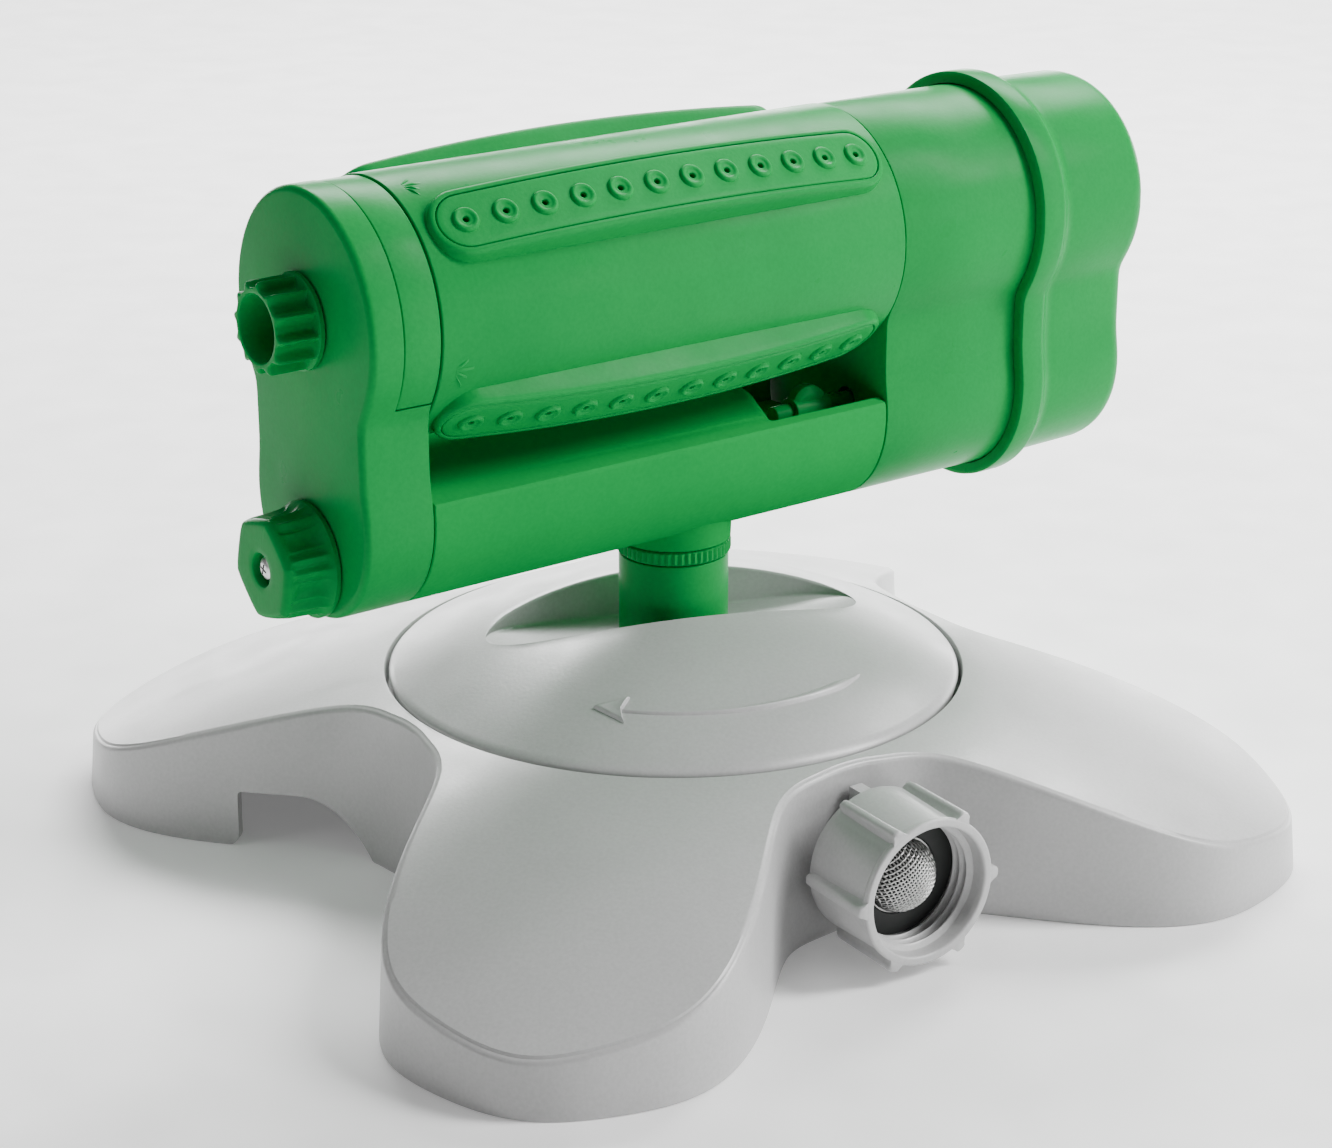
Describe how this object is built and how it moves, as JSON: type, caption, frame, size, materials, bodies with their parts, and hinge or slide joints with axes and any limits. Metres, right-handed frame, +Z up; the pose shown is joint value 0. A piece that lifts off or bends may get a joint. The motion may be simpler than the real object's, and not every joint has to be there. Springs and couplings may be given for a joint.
{
  "type": "drum lawn sprinkler",
  "caption": "Lawn sprinkler: four-lobed base, swivel post, and a head whose drum of nozzle rows swings over a cradle, with a hose nut, a flow knob and a geared turbine drive.",
  "frame": {"origin": "centre of the base on the ground plane, under the swivel post", "axes": "+Z up along the swivel post; the base's lobes point along +X, -X, +Y and -Y; the hose nut faces between +X and -Y; the head's cap end points 48.3 degrees from +X towards +Y"},
  "size_m": [0.2884, 0.2884, 0.1663],
  "materials": {
    "green_body": "semi-gloss moulded green plastic",
    "green_nozzle": "satin green plastic of the nozzle strips",
    "grey_base": "satin light grey moulded plastic",
    "white_nylon": "natural nylon of the inner mechanism",
    "black_seal": "matt black sealing rubber",
    "steel": "bright stainless steel"
  },
  "bodies": {
    "base": {"base_shell": "grey_base", "inlet_elbow": "grey_base", "elbow_screw_1": "steel", "elbow_screw_2": "steel", "elbow_screw_3": "steel", "riser_tube": "white_nylon", "riser_post": "green_body", "detent_ring": "green_body", "swivel_seal": "black_seal"},
    "lock_disc": {"lock_disc": "grey_base"},
    "hose_nut": {"hose_nut": "grey_base", "hose_washer": "black_seal", "inlet_screen": "steel"},
    "head": {"cradle": "green_body", "end_plate": "green_body", "bearing_collar": "green_body", "gear_housing": "green_body", "housing_cap": "green_body", "front_bush": "white_nylon", "rear_bush": "white_nylon", "riser_clip": "white_nylon", "valve_body": "white_nylon", "feed_pipe": "white_nylon", "transfer_elbow": "white_nylon", "upper_axle": "steel", "lower_axle": "steel", "gear_plate": "white_nylon", "plate_screw_1": "steel", "plate_screw_2": "steel"},
    "drum": {"drum_shell": "green_body", "nozzle_strip_1": "green_nozzle", "nozzle_strip_2": "green_nozzle", "nozzle_strip_3": "green_nozzle", "nozzle_strip_4": "green_nozzle", "drum_front_end": "green_body", "drum_rear_end": "white_nylon", "front_seal": "black_seal", "drum_knob": "green_body", "drum_gear": "white_nylon"},
    "flow_knob": {"flow_knob": "green_body", "knob_screw": "steel", "valve_plug": "white_nylon", "valve_seal": "black_seal"},
    "reverser": {"reversing_lever": "green_body", "diverter_flap": "white_nylon"},
    "turbine": {"turbine_wheel": "white_nylon"},
    "gear_one": {"gear_one": "white_nylon"},
    "gear_two": {"gear_two": "white_nylon"},
    "gear_three": {"gear_three": "white_nylon"}
  },
  "joints": [
    {"name": "head_swivel", "type": "hinge", "parent": "base", "child": "head", "pos_m": [0, 0, 0.0699], "axis": [0, 0, 1], "continuous": true},
    {"name": "disc_lock", "type": "hinge", "parent": "base", "child": "lock_disc", "pos_m": [0, 0, 0.039], "axis": [0, 0, 1], "range_deg": [0, 30]},
    {"name": "nut_spin", "type": "hinge", "parent": "base", "child": "hose_nut", "pos_m": [0.05657, -0.05657, 0.0193], "axis": [0.7071, -0.7071, 0], "continuous": true},
    {"name": "drum_swing", "type": "hinge", "parent": "head", "child": "drum", "pos_m": [0, 0, 0.1357], "axis": [0.6652, 0.7466, 0], "range_deg": [-60, 60]},
    {"name": "flow_turn", "type": "hinge", "parent": "head", "child": "flow_knob", "pos_m": [-0.05987, -0.0672, 0.0843], "axis": [0.6652, 0.7466, 0], "range_deg": [0, 90]},
    {"name": "reverser_tilt", "type": "hinge", "parent": "head", "child": "reverser", "pos_m": [0.02726, 0.01857, 0.0957], "axis": [0.6652, 0.7466, 0], "range_deg": [-12, 12]},
    {"name": "gear_three_spin", "type": "hinge", "parent": "head", "child": "gear_three", "pos_m": [0.04923, 0.05525, 0.11257], "axis": [0.6652, 0.7466, 0], "continuous": true},
    {"name": "gear_two_spin", "type": "hinge", "parent": "head", "child": "gear_two", "pos_m": [0.04524, 0.05077, 0.09258], "axis": [0.6652, 0.7466, 0], "continuous": true},
    {"name": "gear_one_spin", "type": "hinge", "parent": "head", "child": "gear_one", "pos_m": [0.04258, 0.04779, 0.11257], "axis": [0.6652, 0.7466, 0], "continuous": true},
    {"name": "turbine_spin", "type": "hinge", "parent": "head", "child": "turbine", "pos_m": [0.03725, 0.04181, 0.09258], "axis": [0.6652, 0.7466, 0], "continuous": true}
  ],
  "couplings": [
    {"joint": "gear_three_spin", "follows": "drum_swing", "ratio": -3.625},
    {"joint": "gear_two_spin", "follows": "drum_swing", "ratio": 10.875},
    {"joint": "gear_one_spin", "follows": "drum_swing", "ratio": -32.625},
    {"joint": "turbine_spin", "follows": "drum_swing", "ratio": 97.875}
  ]
}
